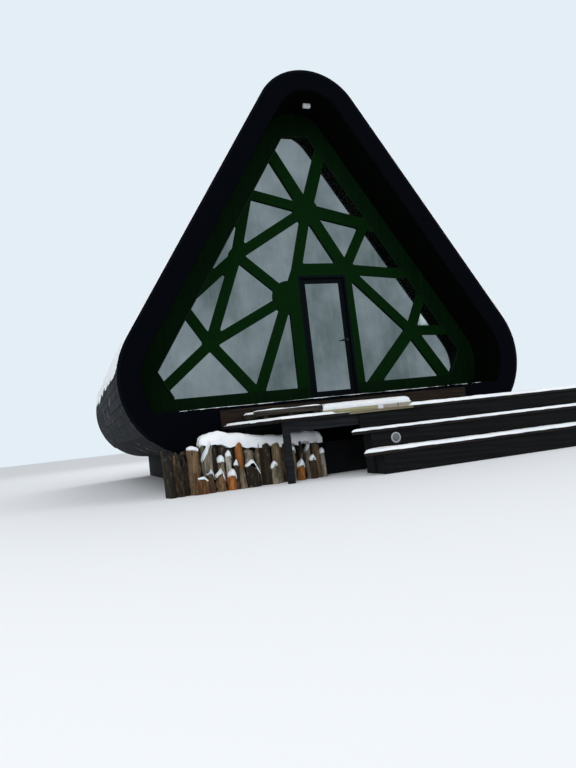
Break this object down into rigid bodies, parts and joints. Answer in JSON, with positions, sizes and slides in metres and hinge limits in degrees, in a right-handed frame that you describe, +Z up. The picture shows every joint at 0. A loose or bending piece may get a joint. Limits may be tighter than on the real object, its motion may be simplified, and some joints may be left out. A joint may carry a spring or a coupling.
{
  "type": "a-frame cabin",
  "caption": "Rounded triangular timber cabin with a glazed lattice gable behind a porch recess, a glazed door, a low terrace with steps and a pile of split logs.",
  "frame": {"origin": "on the ground, in the middle of the gable, below the front edge of the shell", "axes": "+X to the right across the front, +Y from the front into the cabin, +Z up"},
  "size_m": [8.1674, 9.1, 6.665],
  "materials": {
    "plinth": "rough",
    "base": "matt",
    "shell": "granular",
    "joist": "sawn",
    "floor": "oiled",
    "fascia": "satin",
    "lining": "matt paint",
    "surround": "matt paint",
    "lattice": "matt paint",
    "glass": "clear",
    "wall": "matt paint",
    "door": "satin",
    "steel": "brushed",
    "deck": "stained",
    "tread": "stained",
    "riser": "stained",
    "bearer": "stained",
    "step": "planed",
    "board": "weathered",
    "log": "split, with bark",
    "lamp": "opal"
  },
  "bodies": {
    "cabin": {"plinth_front": "plinth", "plinth_back": "plinth", "plinth_sides": "plinth", "base_slab": "base", "corner_left": "shell", "corner_right": "shell", "roof_left": "shell", "roof_right": "shell", "ridge_curve": "shell", "floor_joists": "joist", "floor": "floor", "fascia_left": "fascia", "fascia_right": "fascia", "fascia_ridge": "fascia", "fascia_corner_left": "fascia", "fascia_corner_right": "fascia", "fascia_base": "fascia", "lining_left": "lining", "lining_right": "lining", "lining_ridge": "lining", "surround_left": "surround", "surround_right": "surround", "surround_top": "surround", "lattice_left": "lattice", "lattice_right": "lattice", "lattice_top": "lattice", "glass_left": "glass", "glass_right": "glass", "glass_top": "glass", "back_wall": "wall", "door_frame": "door", "door_hinges": "steel", "deck": "deck", "upper_tread": "tread", "lower_tread": "tread", "step_risers": "riser", "deck_frame": "bearer", "stair_bearers": "bearer", "door_step": "step", "riser_board": "board", "log_row_front": "log", "log_row_back": "log", "lamps": "lamp"},
    "door": {"door_leaf": "door", "door_glass": "glass", "door_handle": "steel"}
  },
  "joints": [
    {"name": "door_swing", "type": "hinge", "parent": "cabin", "child": "door", "pos_m": [-0.2025, 0.86, 1.2], "axis": [0, 0, 1], "range_deg": [0, 100]}
  ]
}
